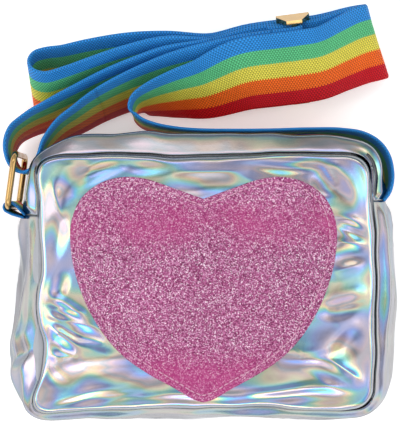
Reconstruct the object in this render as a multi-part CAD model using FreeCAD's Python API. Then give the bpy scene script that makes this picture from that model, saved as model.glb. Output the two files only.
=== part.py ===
import FreeCAD, Part
import math
import os

from FreeCAD import Vector

os.makedirs("parts", exist_ok=True)

# The bag lies on its back panel: +Z out of the front, +Y towards the zipped top, origin under the middle of the back.
# Levels of the bulging gusset: height, half width, bottom edge, top edge, lower corner radius, upper corner radius.
FRONT_FACE_Z = 60.0
FRONT_RISE = 7.0
BACK_SEAM_Z = 5.0
ZIP_Z = 29.0
FRONT_SEAM_Z = FRONT_FACE_Z - FRONT_RISE
CREST_SHARE = 13 / 24
BACK_CREST_Z = ZIP_Z + CREST_SHARE * (BACK_SEAM_Z - ZIP_Z)
FRONT_CREST_Z = ZIP_Z + CREST_SHARE * (FRONT_SEAM_Z - ZIP_Z)
ZIP_TOP = 66.8
SEAM_DIP = 4.5
BACK_RISE = 0.8
FRONT_SWELL = 0.4
SEAM_LEVEL = (84.7, -64.3, ZIP_TOP - SEAM_DIP, 10.0, 16.0)
BACK_CREST = (BACK_CREST_Z, 92.5, -69.5, ZIP_TOP + BACK_RISE, 20.0, 44.0)
ZIP_LEVEL = (ZIP_Z, 95.5, -71.0, ZIP_TOP, 24.0, 50.0)
FRONT_CREST_TOP = ZIP_TOP + FRONT_SWELL * (FRONT_CREST_Z - ZIP_Z)
FRONT_CREST = (FRONT_CREST_Z, 92.5, -69.5, FRONT_CREST_TOP, 20.0, 44.0)

FRONT_EDGE_RADIUS = 5.0
BACK_EDGE_RADIUS = 3.5
WALL = 1.2
LEFT_SEAM_Y = 33.0
RIGHT_SEAM_Y = 40.0

# Zip: tape under the slot, two rows of teeth, slider with a riveted swinging pull.
ZIP_SLOT = 11.0
TAPE_INSET = 1.4
TAPE_THICKNESS = 0.8
TAPE_WIDTH = 12.0
TAPE_GAP = 1.0
TOOTH_PITCH = 2.4
TOOTH_LENGTH = 0.9
TOOTH_WIDTH = 3.6
TOOTH_REACH = 1.0
TOOTH_HEIGHT = 1.9
TOOTH_FOOT = -1.7
TOOTH_SEAT = 0.08
STOP_LENGTH = 3.0
ZIP_END_MARGIN = 10.0
SLIDER_X = -38.0
SLIDER_LENGTH = 12.0
SLIDER_WIDTH = 9.2
SLIDER_FOOT = 0.5
SLIDER_PLATE = 1.4
SLIDER_FLANGE = 0.4
RIVET_RADIUS = 1.2
RIVET_CAP_RADIUS = 2.3
PULL_RADIUS = 3.6
PULL_LENGTH = 17.0
PULL_THICKNESS = 1.2
PULL_CLEARANCE = 0.35
EYE_CLEARANCE = 0.05

LINING_INSET = 2.7
LINING_THICKNESS = 0.6

# Heart, right half from the notch to the tip.
HEART_THICKNESS = 1.2
HEART_CENTRE_X = -0.7
HEART_HALF = [
    (0.0, 40.2), (14.0, 45.2), (27.0, 49.6), (38.0, 50.9), (50.0, 48.0), (59.5, 40.6), (64.4, 29.5),
    (65.0, 18.5), (62.8, 4.5), (57.6, -10.5), (49.4, -25.0), (39.5, -36.3), (28.0, -44.6), (14.0, -52.4), (4.6, -57.8),
]
HEART_TIP = (0.0, -59.2)

# Strap, side ring and tab: the ring and the tab take their widths from the strap's.
STRAP_WIDTH = 40.0
STRAP_THICKNESS = 1.8
RING_SLACK = 1.0
TAB_SLACK = 5.0
RING_BAR = (-97.6, 36.2)
RING_FAR_BAR = (-94.0, 62.6)
RING_WIRE = 3.2
RING_INNER_WIDTH = STRAP_WIDTH + RING_SLACK
RING_CORNER = 5.0
TAB_WIDTH = RING_INNER_WIDTH - TAB_SLACK
TAB_WEB = 1.2
TAB_CLEARANCE = 0.3
TAB_ROOT = (-86.5, 30.0)

# The pile is the folded stack of strap behind the bag: the line of its lowest edge, its heading, and its lean
# from upright at its left, at the adjuster and at the right fold, where it lies flattest.
PILE_EDGE = Vector(3.83, 92.52, 1.83)
PILE_HEADING = 7.4
PILE_LEAN = 55.0
ADJUSTER_LEAN = 63.0
FOLD_LEAN = 81.0
ADJUSTER_AT = 46.0
ADJUSTER_SHIFT = 0.5
ADJUSTER_LENGTH = 17.0
ADJUSTER_BAR = 2.2
ADJUSTER_LOW = 5.0
ADJUSTER_HIGH = 12.7
ADJUSTER_SLACK = 1.6
ADJUSTER_INNER_WIDTH = STRAP_WIDTH + ADJUSTER_SLACK


def width_direction(lean, azimuth):
    tilt = math.radians(lean)
    turn = math.radians(azimuth)
    return Vector(math.sin(tilt) * math.cos(turn), math.sin(tilt) * math.sin(turn), math.cos(tilt))


PILE_ALONG = Vector(math.cos(math.radians(PILE_HEADING)), math.sin(math.radians(PILE_HEADING)), 0)


def ease(low, high, value):
    t = min(max((value - low) / (high - low), 0.0), 1.0)
    return t * t * (3 - 2 * t)


def pile_lean(along):
    to_adjuster = (ADJUSTER_LEAN - PILE_LEAN) * ease(2, 26, along)
    to_fold = (FOLD_LEAN - ADJUSTER_LEAN) * ease(57, 90, along)
    return PILE_LEAN + to_adjuster + to_fold


def pile_point(along, up, across=0.0):
    width = width_direction(pile_lean(along), PILE_HEADING + 90)
    rise = PILE_ALONG.cross(width)
    return PILE_EDGE + PILE_ALONG * along + rise * up + width * (STRAP_WIDTH / 2 + across)


def pile(along, up, across=0.0, turn=0.0):
    point = pile_point(along, up, across)
    return (point.x, point.y, point.z, pile_lean(along), PILE_HEADING + 90 + turn)


# Stations of the strap's midline: x, y, z, lean of its width from upright, direction of the lean.
STRAP_RUN = [
    (88.5, 39.0, 29.0, 0, 90), (91.2, 43.5, 28.8, 0, 90), (92.0, 50.0, 27.5, 0, 90),
    (90.3, 58.5, 25.5, 0, 90), (86.0, 65.5, 23.5, 0, 90), (79.0, 70.3, 22.0, 0, 90),
    (68.0, 73.0, 21.2, 0, 90), (52.5, 74.2, 21.0, 0, 90), (32.5, 74.6, 21.0, 0, 90),
    (13.5, 74.8, 21.0, 0, 90), (-2.5, 75.0, 21.0, 0, 92), (-14.0, 75.6, 21.0, 1, 94),
    (-25.5, 77.2, 21.0, 3, 98), (-33.0, 80.0, 21.0, 5, 100), (-36.4, 84.4, 21.0, 8, 100),
    (-34.2, 88.6, 21.2, 13, 100), (-26.5, 91.6, 21.4, 22, 100), (-13.0, 94.4, 21.8, 35, 99),
    (0.5, 96.8, 23.0, 46, 98), pile(18, 17.2), pile(34, 18.9), pile(46, 19.0), pile(58, 17.4),
    pile(70, 14.0), pile(81, 10.8, 0, 3), pile(86.8, 8.6, 0, 8), pile(89.0, 5.0, 0, 12),
    pile(86.8, 1.4, 0, 8), pile(81, 0, 0, 3), pile(74, 0, 0, 1), pile(66, 0), pile(58, 0), pile(46, 0),
    pile(24, 0), pile(2, 0), (-19.0, 110.9, 14.6, 50, 97), (-37.5, 111.2, 16.4, 44, 96),
    (-57.0, 109.4, 17.0, 38, 94), (-72.0, 106.8, 17.4, 35, 91), (-81.0, 105.8, 18.2, 34, 90),
    (-86.4, 103.7, 19.7, 34, 90), (-88.6, 99.2, 22.8, 34, 90), (-86.4, 94.7, 25.8, 34, 90),
    (-80.5, 93.0, 26.8, 33, 90), (-70.0, 96.0, 25.4, 32, 93), (-57.0, 100.6, 22.8, 33, 96),
    (-41.5, 105.5, 20.0, 36, 97), (-20.0, 108.7, 17.6, 46, 98), pile(2, 3.4), pile(24, 2.5), pile(46, 2.4),
    pile(58, 2.6), pile(66, 2.8), pile(74, 2.9, 0, 1), pile(79, 3.1, 0, 3), pile(81.4, 5.1, 0.1, 4),
    pile(79, 7.1, 0.3, 3), pile(72, 7.7, 0.4), pile(60, 7.7, 0.5), pile(46, 7.7, 0.5), pile(24, 7.4, 0.5),
    pile(4, 6.4, 0.5),
]
STRAP_LOOP = [
    pile(4, 6.4, 0.5), (-19.0, 104.3, 18.6, 43, 99), (-34.5, 101.4, 19.4, 32, 102),
    (-49.5, 96.6, 19.8, 26, 105), (-64.0, 90.2, 21.0, 22, 108), (-78.5, 83.8, 22.8, 17, 112),
    (-89.0, 79.0, 24.8, 12, 118), (-96.2, 73.6, 26.8, 7, 125), (-99.0, 67.5, 28.5, 3, 130),
    (-98.6, 61.0, 29.0, 0, 130), (-95.5, 55.6, 29.0, 0, 130), (-90.5, 53.6, 29.0, 0, 130),
    (-85.8, 55.8, 29.0, 0, 130), (-83.2, 61.0, 28.6, 1, 126), (-80.2, 67.8, 27.4, 5, 120),
    (-73.5, 75.5, 25.4, 11, 116), (-64.0, 81.9, 23.4, 16, 112), (-53.5, 88.6, 21.6, 20, 108),
    (-36.5, 96.4, 20.2, 26, 103), (-17.5, 100.8, 19.8, 40, 99), pile(2, 10.1, 0.5), pile(18, 13.4, 0.5),
    pile(28, 15.0, 0.5), pile(33.6, 15.2, 0.5),
]
STRAP_END = [
    pile(34, 15.2, 0.5), pile(39, 15.3, 0.5), pile(44.5, 15.3, 0.5), pile(48.4, 14.3, 0.5),
    pile(49.3, 12.7, 0.5), pile(48.4, 11.1, 0.5), pile(44.5, 10.2, 0.5), pile(32, 10.2, 0.5),
]
STRAP_STEPS = 3


def outline(half_width, bottom, top, r_low, r_high, z):
    def arc(cx, cy, r, start):
        points = [
            Vector(cx + r * math.cos(math.radians(a)), cy + r * math.sin(math.radians(a)), z)
            for a in (start, start + 45, start + 90)
        ]
        return Part.Arc(*points).toShape()

    corners = [
        arc(half_width - r_low, bottom + r_low, r_low, 270),
        arc(half_width - r_high, top - r_high, r_high, 0),
        arc(-half_width + r_high, top - r_high, r_high, 90),
        arc(-half_width + r_low, bottom + r_low, r_low, 180),
    ]
    edges = []
    for corner, following in zip(corners, corners[1:] + corners[:1]):
        edges.append(corner)
        edges.append(Part.makeLine(corner.lastVertex().Point, following.firstVertex().Point))
    return Part.Wire(edges)


def inset_outline(level, inset):
    z, half_width, bottom, top, r_low, r_high = level
    return outline(half_width - inset, bottom + inset, top - inset, r_low - inset, r_high - inset, z)


def body_form(inset):
    levels = [(BACK_SEAM_Z,) + SEAM_LEVEL, BACK_CREST, ZIP_LEVEL, FRONT_CREST, (FRONT_SEAM_Z,) + SEAM_LEVEL]
    return Part.makeLoft([inset_outline(level, inset) for level in levels], True, False)


def skin(inset, thickness):
    return body_form(inset).cut(body_form(inset + thickness))


def block(x0, x1, y0, y1, z0, z1):
    return Part.makeBox(x1 - x0, y1 - y0, z1 - z0, Vector(x0, y0, z0))


def zip_zone(z0, z1, reach=0.0):
    left = block(-130, 0, LEFT_SEAM_Y - reach, 130, z0, z1)
    right = block(0, 130, RIGHT_SEAM_Y - reach, 130, z0, z1)
    return left.fuse(right)


def tray(rim_z, face_z, radius):
    def dome(inset):
        depth = (abs(face_z - rim_z) - inset) * (1 if face_z > rim_z else -1)
        base = Part.Face(inset_outline((rim_z,) + SEAM_LEVEL, inset))
        solid = base.extrude(Vector(0, 0, depth))
        edges = [e for e in solid.Edges if all(abs(v.Z - rim_z - depth) < 1e-6 for v in e.Vertexes)]
        return solid.makeFillet(radius - inset, edges)

    return dome(0.0).cut(dome(WALL))


def save(name, shape):
    shape.exportStep("parts/" + name + ".step")


# Shell of the bag.
gusset = skin(0.0, WALL)
save("front_panel", tray(FRONT_SEAM_Z, FRONT_FACE_Z, FRONT_EDGE_RADIUS))
save("back_panel", tray(BACK_SEAM_Z, 0.0, BACK_EDGE_RADIUS))
save("base_gusset", gusset.cut(zip_zone(-10, 100)))
save("front_zip_strip", gusset.common(zip_zone(ZIP_Z + ZIP_SLOT / 2, 100)))
save("rear_zip_strip", gusset.common(zip_zone(-10, ZIP_Z - ZIP_SLOT / 2)))

# Lining of the compartment, with its slot under the zip.
lining = skin(LINING_INSET, LINING_THICKNESS)
slot = zip_zone(ZIP_Z - ZIP_SLOT / 2, ZIP_Z + ZIP_SLOT / 2)
save("lining_gusset", lining.cut(slot))
lining_outline = inset_outline((FRONT_SEAM_Z,) + SEAM_LEVEL, LINING_INSET)
lining_sheet = Part.Face(lining_outline).extrude(Vector(0, 0, LINING_THICKNESS))
save("lining_front", lining_sheet)
save("lining_back", lining_sheet.translated(Vector(0, 0, BACK_SEAM_Z - FRONT_SEAM_Z - LINING_THICKNESS)))

# Zip tapes and the line the teeth follow round the top of the bag.
tape = skin(TAPE_INSET, TAPE_THICKNESS)
save("front_zip_tape", tape.common(zip_zone(ZIP_Z + TAPE_GAP / 2, ZIP_Z + TAPE_WIDTH, 4.0)))
save("rear_zip_tape", tape.common(zip_zone(ZIP_Z - TAPE_WIDTH, ZIP_Z - TAPE_GAP / 2, 4.0)))

ZIP_RADIUS = ZIP_LEVEL[5]
TURN_X = ZIP_LEVEL[1] - ZIP_RADIUS
TURN_Y = ZIP_TOP - ZIP_RADIUS
LEFT_TURN = math.pi / 2 - math.asin((LEFT_SEAM_Y - TURN_Y) / ZIP_RADIUS)
RIGHT_TURN = math.pi / 2 - math.asin((RIGHT_SEAM_Y - TURN_Y) / ZIP_RADIUS)
ZIP_LENGTH = ZIP_RADIUS * (LEFT_TURN + RIGHT_TURN) + 2 * TURN_X


def on_zip(shape, distance):
    past_top = distance - ZIP_RADIUS * LEFT_TURN
    if past_top < 0:
        turn = past_top / ZIP_RADIUS
        centre_x = -TURN_X
    elif past_top > 2 * TURN_X:
        turn = (past_top - 2 * TURN_X) / ZIP_RADIUS
        centre_x = TURN_X
    else:
        turn = 0.0
        centre_x = past_top - TURN_X
    placed = shape.copy()
    placed.translate(Vector(centre_x, ZIP_TOP, 0))
    placed.rotate(Vector(centre_x, TURN_Y, 0), Vector(0, 0, 1), -math.degrees(turn))
    return placed


def tooth_row(side, start):
    reach = -TOOTH_REACH if side > 0 else TOOTH_REACH - TOOTH_WIDTH
    corner = Vector(-TOOTH_LENGTH / 2, TOOTH_FOOT, ZIP_Z + reach)
    tooth = Part.makeBox(TOOTH_LENGTH, TOOTH_HEIGHT, TOOTH_WIDTH, corner)
    count = int((ZIP_LENGTH - 2 * ZIP_END_MARGIN - start) / TOOTH_PITCH)
    return Part.makeCompound([on_zip(tooth, ZIP_END_MARGIN + start + i * TOOTH_PITCH) for i in range(count)])


# Teeth and stops are trimmed to the tapes that they sit on.
tape_seat = body_form(TAPE_INSET - TOOTH_SEAT)
save("front_zip_teeth", tooth_row(1, 0.0).cut(tape_seat))
save("rear_zip_teeth", tooth_row(-1, TOOTH_PITCH / 2).cut(tape_seat))
stop_width = 2 * TOOTH_WIDTH - 2 * TOOTH_REACH
stop_corner = Vector(-STOP_LENGTH / 2, TOOTH_FOOT, ZIP_Z - stop_width / 2)
stop = Part.makeBox(STOP_LENGTH, TOOTH_HEIGHT, stop_width, stop_corner)
stop = stop.makeFillet(0.5, [e for e in stop.Edges if abs(e.tangentAt(0).z) > 0.9])
stop_at = ZIP_END_MARGIN - STOP_LENGTH
stops = Part.makeCompound([on_zip(stop, stop_at), on_zip(stop, ZIP_LENGTH - stop_at)])
save("zip_stops", stops.cut(tape_seat))

# Slider: a shaped plate with two side flanges and the rivet that carries the pull.
foot_y = ZIP_TOP + SLIDER_FOOT
half_length = SLIDER_LENGTH / 2
half_width = SLIDER_WIDTH / 2
plate_profile = [
    (-half_length, 0.62), (-half_length * 0.2, 1.0), (half_length * 0.8, 1.0), (half_length, 0.75),
    (half_length, -0.75), (half_length * 0.8, -1.0), (-half_length * 0.2, -1.0), (-half_length, -0.62),
]
plate_points = [Vector(SLIDER_X + x, foot_y, ZIP_Z + k * half_width) for x, k in plate_profile]
slider = Part.Face(Part.makePolygon(plate_points + plate_points[:1])).extrude(Vector(0, SLIDER_PLATE, 0))
for side in (-1, 1):
    z0 = ZIP_Z + side * half_width - (0.8 if side > 0 else 0.0)
    slider = slider.fuse(block(SLIDER_X - 1, SLIDER_X + 4.8, foot_y - SLIDER_FLANGE, foot_y, z0, z0 + 0.8))
plate_y = foot_y + SLIDER_PLATE
rivet_reach = PULL_THICKNESS + 2 * PULL_CLEARANCE
outward = Vector(0, 1, 0)
slider = slider.fuse(Part.makeCylinder(RIVET_RADIUS, rivet_reach, Vector(SLIDER_X, plate_y, ZIP_Z), outward))
cap_at = Vector(SLIDER_X, plate_y + rivet_reach, ZIP_Z)
slider = slider.fuse(Part.makeCylinder(RIVET_CAP_RADIUS, 0.7, cap_at, outward))
save("zip_slider", slider.removeSplitter())

# Pull: a flat tab hanging from the rivet, with a finger window near its free end.
pull_y = plate_y + PULL_CLEARANCE


def pull_strip(radius, top_z, low_z, y, thickness):
    left = SLIDER_X - radius
    right = SLIDER_X + radius
    upper = Part.Arc(Vector(left, y, top_z), Vector(SLIDER_X, y, top_z + radius), Vector(right, y, top_z))
    lower = Part.Arc(Vector(right, y, low_z), Vector(SLIDER_X, y, low_z - radius), Vector(left, y, low_z))
    sides = [
        Part.makeLine(Vector(right, y, top_z), Vector(right, y, low_z)),
        Part.makeLine(Vector(left, y, low_z), Vector(left, y, top_z)),
    ]
    return Part.Face(Part.Wire([upper.toShape(), sides[0], lower.toShape(), sides[1]])).extrude(
        Vector(0, thickness, 0)
    )


pull_end = ZIP_Z - PULL_LENGTH
pull = pull_strip(PULL_RADIUS, ZIP_Z, pull_end, pull_y, PULL_THICKNESS)
eye_at = Vector(SLIDER_X, pull_y - 1, ZIP_Z)
pull = pull.cut(Part.makeCylinder(RIVET_RADIUS + EYE_CLEARANCE, PULL_THICKNESS + 2, eye_at, outward))
pull = pull.cut(pull_strip(1.5, pull_end + 6, pull_end, pull_y - 1, PULL_THICKNESS + 2))
save("zip_pull", pull)

# Heart sewn on the front panel.
right_half = Part.BSplineCurve()
heart_points = [Vector(HEART_CENTRE_X + x, y, FRONT_FACE_Z) for x, y in HEART_HALF + [HEART_TIP]]
right_half.interpolate(
    Points=heart_points,
    Tangents=[Vector(26, 8, 0)] + [Vector()] * (len(heart_points) - 2) + [Vector(-20, 0, 0)],
    TangentFlags=[True] + [False] * (len(heart_points) - 2) + [True],
)
half_edge = right_half.toShape()
other_edge = half_edge.mirror(Vector(HEART_CENTRE_X, 0, 0), Vector(1, 0, 0))
heart = Part.Face(Part.Wire([half_edge, other_edge])).extrude(Vector(0, 0, HEART_THICKNESS))
save("heart_applique", heart)

# Ring: round wire bent to a rounded rectangle standing on the bar that the tab holds.
bar = Vector(RING_BAR[0], RING_BAR[1], ZIP_Z)
far_bar = Vector(RING_FAR_BAR[0], RING_FAR_BAR[1], ZIP_Z)
ring_up = far_bar - bar
ring_height = ring_up.Length
ring_up.normalize()
ring_span = Vector(0, 0, (RING_INNER_WIDTH + RING_WIRE) / 2)
wire_radius = RING_WIRE / 2


def bent_wire(corners, radius, corner_radius):
    edges = []
    count = len(corners)
    for i, corner in enumerate(corners):
        before = (corners[i - 1] - corner).normalize()
        after = (corners[(i + 1) % count] - corner).normalize()
        start = corner + before * corner_radius
        end = corner + after * corner_radius
        centre = corner + (before + after) * corner_radius
        middle = centre + (corner - centre).normalize() * corner_radius
        edges.append(Part.Arc(start, middle, end).toShape())
        following = corners[(i + 1) % count]
        edges.append(Part.makeLine(end, following - after * corner_radius))
    path = Part.Wire(edges)
    section = Part.Wire(Part.makeCircle(radius, edges[-1].firstVertex().Point, edges[-1].tangentAt(0)))
    reordered = Part.Wire(edges[-1:] + edges[:-1])
    return reordered.makePipeShell([section], True, False)


save("side_ring", bent_wire([bar - ring_span, bar + ring_span, far_bar + ring_span, far_bar - ring_span],
                            wire_radius, RING_CORNER))

# Tab: a folded piece of webbing held in the side seam and wrapped round the ring's bar.
root = Vector(TAB_ROOT[0], TAB_ROOT[1], ZIP_Z - TAB_WIDTH / 2)
hold = Vector(RING_BAR[0], RING_BAR[1], ZIP_Z - TAB_WIDTH / 2)
tab_along = (root - hold).normalize()
tab_side = Vector(-tab_along.y, tab_along.x, 0)


def teardrop(radius, root_half, stop_short):
    end = root - tab_along * stop_short
    corners = [hold + tab_side * radius, end + tab_side * root_half, end - tab_side * root_half, hold - tab_side * radius]
    wedge = Part.Face(Part.makePolygon(corners + corners[:1])).extrude(Vector(0, 0, TAB_WIDTH))
    return wedge.fuse(Part.makeCylinder(radius, TAB_WIDTH, hold))


outer_form = body_form(0.0)
tab_inner = wire_radius + TAB_CLEARANCE
tab = teardrop(tab_inner + TAB_WEB, TAB_WEB, 0.0).cut(teardrop(tab_inner, 0.05, 4.0))
save("ring_tab", tab.cut(outer_form))


# Strap: rectangles of webbing carried along the stations and joined by ruled faces.
def smooth_stations(rows, steps):
    rows = [(Vector(*row[:3]), width_direction(row[3], row[4])) for row in rows]
    spans = [math.sqrt((b[0] - a[0]).Length) for a, b in zip(rows, rows[1:])]
    last = len(rows) - 1
    out = []
    for i in range(last):
        parts = []
        for k in (0, 1):
            p1 = rows[i][k]
            p2 = rows[i + 1][k]
            d = spans[i]
            leave = (p2 - p1) * (1 / d)
            arrive = leave
            if i > 0:
                e = spans[i - 1]
                p0 = rows[i - 1][k]
                leave = (p1 - p0) * (1 / e) - (p2 - p0) * (1 / (e + d)) + (p2 - p1) * (1 / d)
            if i < last - 1:
                f = spans[i + 1]
                p3 = rows[i + 2][k]
                arrive = (p2 - p1) * (1 / d) - (p3 - p1) * (1 / (d + f)) + (p3 - p2) * (1 / f)
            parts.append((p1, leave * d, p2, arrive * d))
        for j in range(steps):
            s = j / steps
            h = (2 * s**3 - 3 * s * s + 1, s**3 - 2 * s * s + s, 3 * s * s - 2 * s**3, s**3 - s * s)
            out.append(tuple(p * h[0] + m * h[1] + q * h[2] + n * h[3] for p, m, q, n in parts))
    out.append(rows[-1])
    return out


def sections(rows):
    stations = smooth_stations(rows, STRAP_STEPS)
    rings = []
    for i, (point, across) in enumerate(stations):
        ahead = stations[min(i + 1, len(stations) - 1)][0] - stations[max(i - 1, 0)][0]
        thick = ahead.cross(across).normalize() * (STRAP_THICKNESS / 2)
        half = thick.cross(ahead).normalize() * (STRAP_WIDTH / 2)
        if half.dot(across) < 0:
            half = half * -1
        ring = [point + half + thick, point + half - thick, point - half - thick, point - half + thick]
        rings.append(Part.makePolygon(ring + ring[:1]))
    return rings


strap_sections = sections(STRAP_RUN + STRAP_LOOP[1:])
run_end = (len(STRAP_RUN) - 1) * STRAP_STEPS
save("strap_run", Part.makeLoft(strap_sections[: run_end + 1], True, True).cut(outer_form))
save("strap_ring_loop", Part.makeLoft(strap_sections[run_end:], True, True))
save("strap_sewn_end", Part.makeLoft(sections(STRAP_END), True, True))


# Adjuster: two arched side plates joined by two low end bars and a high middle bar.
ADJUSTER_WIDTH = width_direction(ADJUSTER_LEAN, PILE_HEADING + 90)
ADJUSTER_RISE = PILE_ALONG.cross(ADJUSTER_WIDTH)


def adjuster_point(along, up, across):
    middle = STRAP_WIDTH / 2 + ADJUSTER_SHIFT + across
    return PILE_EDGE + PILE_ALONG * along + ADJUSTER_RISE * up + ADJUSTER_WIDTH * middle


def pile_block(along0, along1, up0, up1, across0, across1):
    corners = [(along0, up0), (along1, up0), (along1, up1), (along0, up1)]
    return pile_plate(corners, across0, across1)


def pile_plate(corners, across0, across1):
    points = [adjuster_point(a, u, across0) for a, u in corners]
    return Part.Face(Part.makePolygon(points + points[:1])).extrude(ADJUSTER_WIDTH * (across1 - across0))


inner = ADJUSTER_INNER_WIDTH / 2
outer = inner + ADJUSTER_BAR
reach = ADJUSTER_LENGTH / 2
half_bar = ADJUSTER_BAR / 2
arch = [
    (ADJUSTER_AT - reach, ADJUSTER_LOW - half_bar), (ADJUSTER_AT + reach, ADJUSTER_LOW - half_bar),
    (ADJUSTER_AT + reach, ADJUSTER_LOW + half_bar), (ADJUSTER_AT + 4, ADJUSTER_HIGH + half_bar),
    (ADJUSTER_AT - 4, ADJUSTER_HIGH + half_bar), (ADJUSTER_AT - reach, ADJUSTER_LOW + half_bar),
]
adjuster = pile_plate(arch, inner, outer).fuse(pile_plate(arch, -outer, -inner))
for along, up in ((-reach + half_bar, ADJUSTER_LOW), (reach - half_bar, ADJUSTER_LOW), (0.0, ADJUSTER_HIGH)):
    centre = ADJUSTER_AT + along
    adjuster = adjuster.fuse(
        pile_block(centre - half_bar, centre + half_bar, up - half_bar, up + half_bar, -inner, inner)
    )
save("strap_adjuster", adjuster.removeSplitter())
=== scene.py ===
import math

import bpy
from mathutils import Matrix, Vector, noise


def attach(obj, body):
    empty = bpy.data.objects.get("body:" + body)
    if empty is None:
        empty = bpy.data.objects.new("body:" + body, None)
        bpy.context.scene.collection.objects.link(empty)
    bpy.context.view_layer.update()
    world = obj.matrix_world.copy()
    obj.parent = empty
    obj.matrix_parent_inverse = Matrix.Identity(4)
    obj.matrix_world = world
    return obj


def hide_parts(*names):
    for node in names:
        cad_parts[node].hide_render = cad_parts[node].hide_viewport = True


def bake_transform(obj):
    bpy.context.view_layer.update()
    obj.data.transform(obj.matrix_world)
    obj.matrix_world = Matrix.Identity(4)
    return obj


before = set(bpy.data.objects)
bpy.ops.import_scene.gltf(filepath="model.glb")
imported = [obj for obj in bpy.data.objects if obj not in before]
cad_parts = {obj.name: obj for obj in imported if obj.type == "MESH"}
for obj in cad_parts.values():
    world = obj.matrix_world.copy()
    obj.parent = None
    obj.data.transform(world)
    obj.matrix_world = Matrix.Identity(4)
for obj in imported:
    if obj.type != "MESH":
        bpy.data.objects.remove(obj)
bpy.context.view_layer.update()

# Lengths below are in millimetres, and each piece is turned to metres as its mesh is made.
MM = 0.001

# The photograph: straight above the bag, which lies on its back.
PHOTO_WIDTH_PX = 400
PX_PER_MM = 2.05
CAMERA_HEIGHT = 760.0
CAMERA_OVER = (-2.4, 34.0)
FRONT_FACE_Z = 60.0

# Body of the bag: seams, crests of the gusset and the level of the zip, as in the frame.
BACK_SEAM_Z = 5.0
FRONT_SEAM_Z = 53.0
ZIP_Z = 29.0
ZIP_SLOT = 11.0
LEFT_SEAM_Y = 33.0
RIGHT_SEAM_Y = 40.0
# Outline sizes: half width, bottom, top, and radius of the lower and the upper corners.
SEAM_FORM = (84.7, -64.3, 62.3, 10.0, 16.0)
# Height above the floor and the outline's sizes there.
GUSSET_LEVELS = [
    (BACK_SEAM_Z, *SEAM_FORM),
    (16.0, 92.5, -69.5, 67.6, 20.0, 44.0),
    (ZIP_Z, 95.5, -71.0, 66.8, 24.0, 50.0),
    (42.0, 92.5, -69.5, 72.0, 20.0, 44.0),
    (FRONT_SEAM_Z, *SEAM_FORM),
]
# How much steeper than a straight line the gusset leaves a seam.
SEAM_SLOPE = 1.6
# The zipped top from the side: height above the floor and y of the film there.
TOP_PROFILE = [
    (5.0, 62.3), (6.0, 65.1), (8.0, 67.5), (10.0, 68.2), (13.0, 68.2), (16.0, 67.6),
    (20.0, 66.8), (24.0, 66.4), (29.0, 66.8), (35.0, 68.7), (38.0, 70.1), (42.0, 72.0),
    (45.0, 72.8), (47.0, 72.6), (49.0, 71.3), (50.5, 69.2), (52.0, 65.7), (53.0, 62.3),
]
FILM_THICKNESS = 0.9

# Strap: webbing width and thickness, and the folded pile behind the bag.
WEB_WIDTH = 40.0
WEB_THICKNESS = 1.7
PILE_EDGE = Vector((3.83, 92.52, 1.83))
PILE_HEADING = 7.4
PILE_LEAN = 55.0
ADJUSTER_LEAN = 63.0
FOLD_LEAN = 81.0
# Stretches of the pile over which it goes over to the adjuster's lean, and then to its fold's.
TO_ADJUSTER = (2, 26)
TO_FOLD = (57, 90)


def metres(points):
    return [Vector(p) * MM for p in points]


def make_mesh(name, points, faces, material, uvs=None):
    mesh = bpy.data.meshes.new(name)
    mesh.from_pydata(metres(points), [], faces)
    mesh.materials.append(material)
    if uvs:
        layer = mesh.uv_layers.new(name="lay")
        for loop in mesh.loops:
            layer.data[loop.index].uv = uvs[loop.vertex_index]
    mesh.update()
    mesh.shade_smooth()
    piece = bpy.data.objects.new(name, mesh)
    bpy.context.collection.objects.link(piece)
    return piece


def sheet_faces(rows, columns, close_rows=False, close_columns=False):
    faces = []
    for r in range(rows if close_rows else rows - 1):
        for c in range(columns if close_columns else columns - 1):
            r2 = (r + 1) % rows
            c2 = (c + 1) % columns
            faces.append((r * columns + c, r * columns + c2, r2 * columns + c2, r2 * columns + c))
    return faces


def ringed_faces(rings, around, flip=False):
    """Faces of closed rings of points, the last one filled by a fan to the middle point that follows them."""
    faces = sheet_faces(rings, around, close_columns=True)
    last, middle = (rings - 1) * around, rings * around
    faces += [(last + i, last + (i + 1) % around, middle) for i in range(around)]
    return [face[::-1] for face in faces] if flip else faces


def thicken(piece, thickness, offset=-1.0):
    shell = piece.modifiers.new("film thickness", "SOLIDIFY")
    shell.thickness = thickness * MM
    shell.offset = offset
    shell.use_even_offset = False
    return piece


def smoothstep(low, high, value):
    t = min(max((value - low) / (high - low), 0.0), 1.0)
    return t * t * (3 - 2 * t)


def waver(x, y, seed, size):
    """Soft noise in -1..1, with bumps about size millimetres across."""
    return noise.noise(Vector((x / size, y / size, seed)))


def crease(u, v, seed):
    """Noise with sharp crests: 1 on a crest, about -0.2 at its deepest."""
    return 1.0 - 2.2 * abs(noise.noise(Vector((u, v, seed))))


def swell(value, middle, reach):
    """A smooth hump: 1 at its middle, about a third one reach away."""
    return math.exp(-(((value - middle) / reach) ** 2))


def ease_weights(t):
    """Weights of a smooth curve's start, leaving slope, end and arriving slope, a share t along it."""
    return 2 * t**3 - 3 * t * t + 1, t**3 - 2 * t * t + t, 3 * t * t - 2 * t**3, t**3 - t * t


# Outlines of the bag.
ARC_STEPS = 24
SIDE_STEPS = 110


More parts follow.
